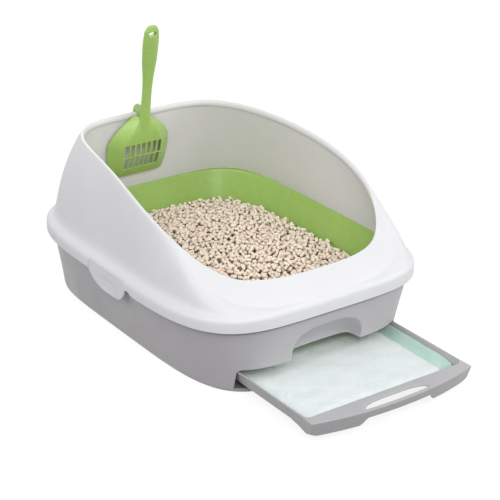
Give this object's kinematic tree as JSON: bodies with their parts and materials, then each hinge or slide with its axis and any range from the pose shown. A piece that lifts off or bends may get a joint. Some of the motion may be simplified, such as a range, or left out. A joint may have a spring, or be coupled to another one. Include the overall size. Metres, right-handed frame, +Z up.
{
  "type": "drawer litter box",
  "caption": "Pellet litter box: a drafted tub with a pad drawer, a slotted pan of pellets, a high-backed hood with side tabs, and a scoop hung on its rim.",
  "frame": {"origin": "middle of the tub's underside, on the floor; the drawer at rest is drawn out of the front, so the middle of the whole row's box lies further forward", "axes": "+X to the right of someone facing the drawer, +Y towards the high back, +Z up"},
  "size_m": [0.395, 0.6588, 0.3836],
  "materials": {
    "grey_plastic": "satin moulded",
    "drawer_plastic": "satin moulded",
    "pad_film": "thin tinted film",
    "pad_fabric": "quilted nonwoven",
    "green_plastic": "satin moulded",
    "pellets": "dry pressed pellets",
    "white_plastic": "satin moulded",
    "scoop_plastic": "satin moulded"
  },
  "bodies": {
    "tub": {"base": "grey_plastic"},
    "drawer_unit": {"drawer": "drawer_plastic", "pad_backing": "pad_film", "pad_top": "pad_fabric"},
    "pan_unit": {"pan": "green_plastic", "litter": "pellets"},
    "hood_unit": {"hood": "white_plastic"},
    "tab_left": {"latch_left": "white_plastic"},
    "tab_right": {"latch_right": "white_plastic"},
    "scoop_unit": {"scoop": "scoop_plastic"}
  },
  "joints": [
    {"name": "drawer_slide", "type": "slide", "parent": "tub", "child": "drawer_unit", "axis": [0, -1, 0], "range_m": [-0.155, 0.15]},
    {"name": "hood_lift", "type": "slide", "parent": "tub", "child": "hood_unit", "axis": [0, 0, 1], "range_m": [0, 0.3]},
    {"name": "pan_lift", "type": "slide", "parent": "tub", "child": "pan_unit", "axis": [0, 0, 1], "range_m": [0, 0.15]},
    {"name": "tab_left_flex", "type": "hinge", "parent": "hood_unit", "child": "tab_left", "pos_m": [-0.1956, -0.007, 0.1151], "axis": [0, 1, 0], "range_deg": [0, 10], "stiffness_Nm_per_rad": 0.6},
    {"name": "tab_right_flex", "type": "hinge", "parent": "hood_unit", "child": "tab_right", "pos_m": [0.1956, -0.007, 0.1151], "axis": [0, -1, 0], "range_deg": [0, 10], "stiffness_Nm_per_rad": 0.6},
    {"name": "scoop_lift", "type": "slide", "parent": "hood_unit", "child": "scoop_unit", "axis": [0, -0.1908, 0.9816], "range_m": [0, 0.12]}
  ],
  "couplings": [
    {"joint": "pan_lift", "follows": "hood_lift", "ratio": 0.5}
  ]
}
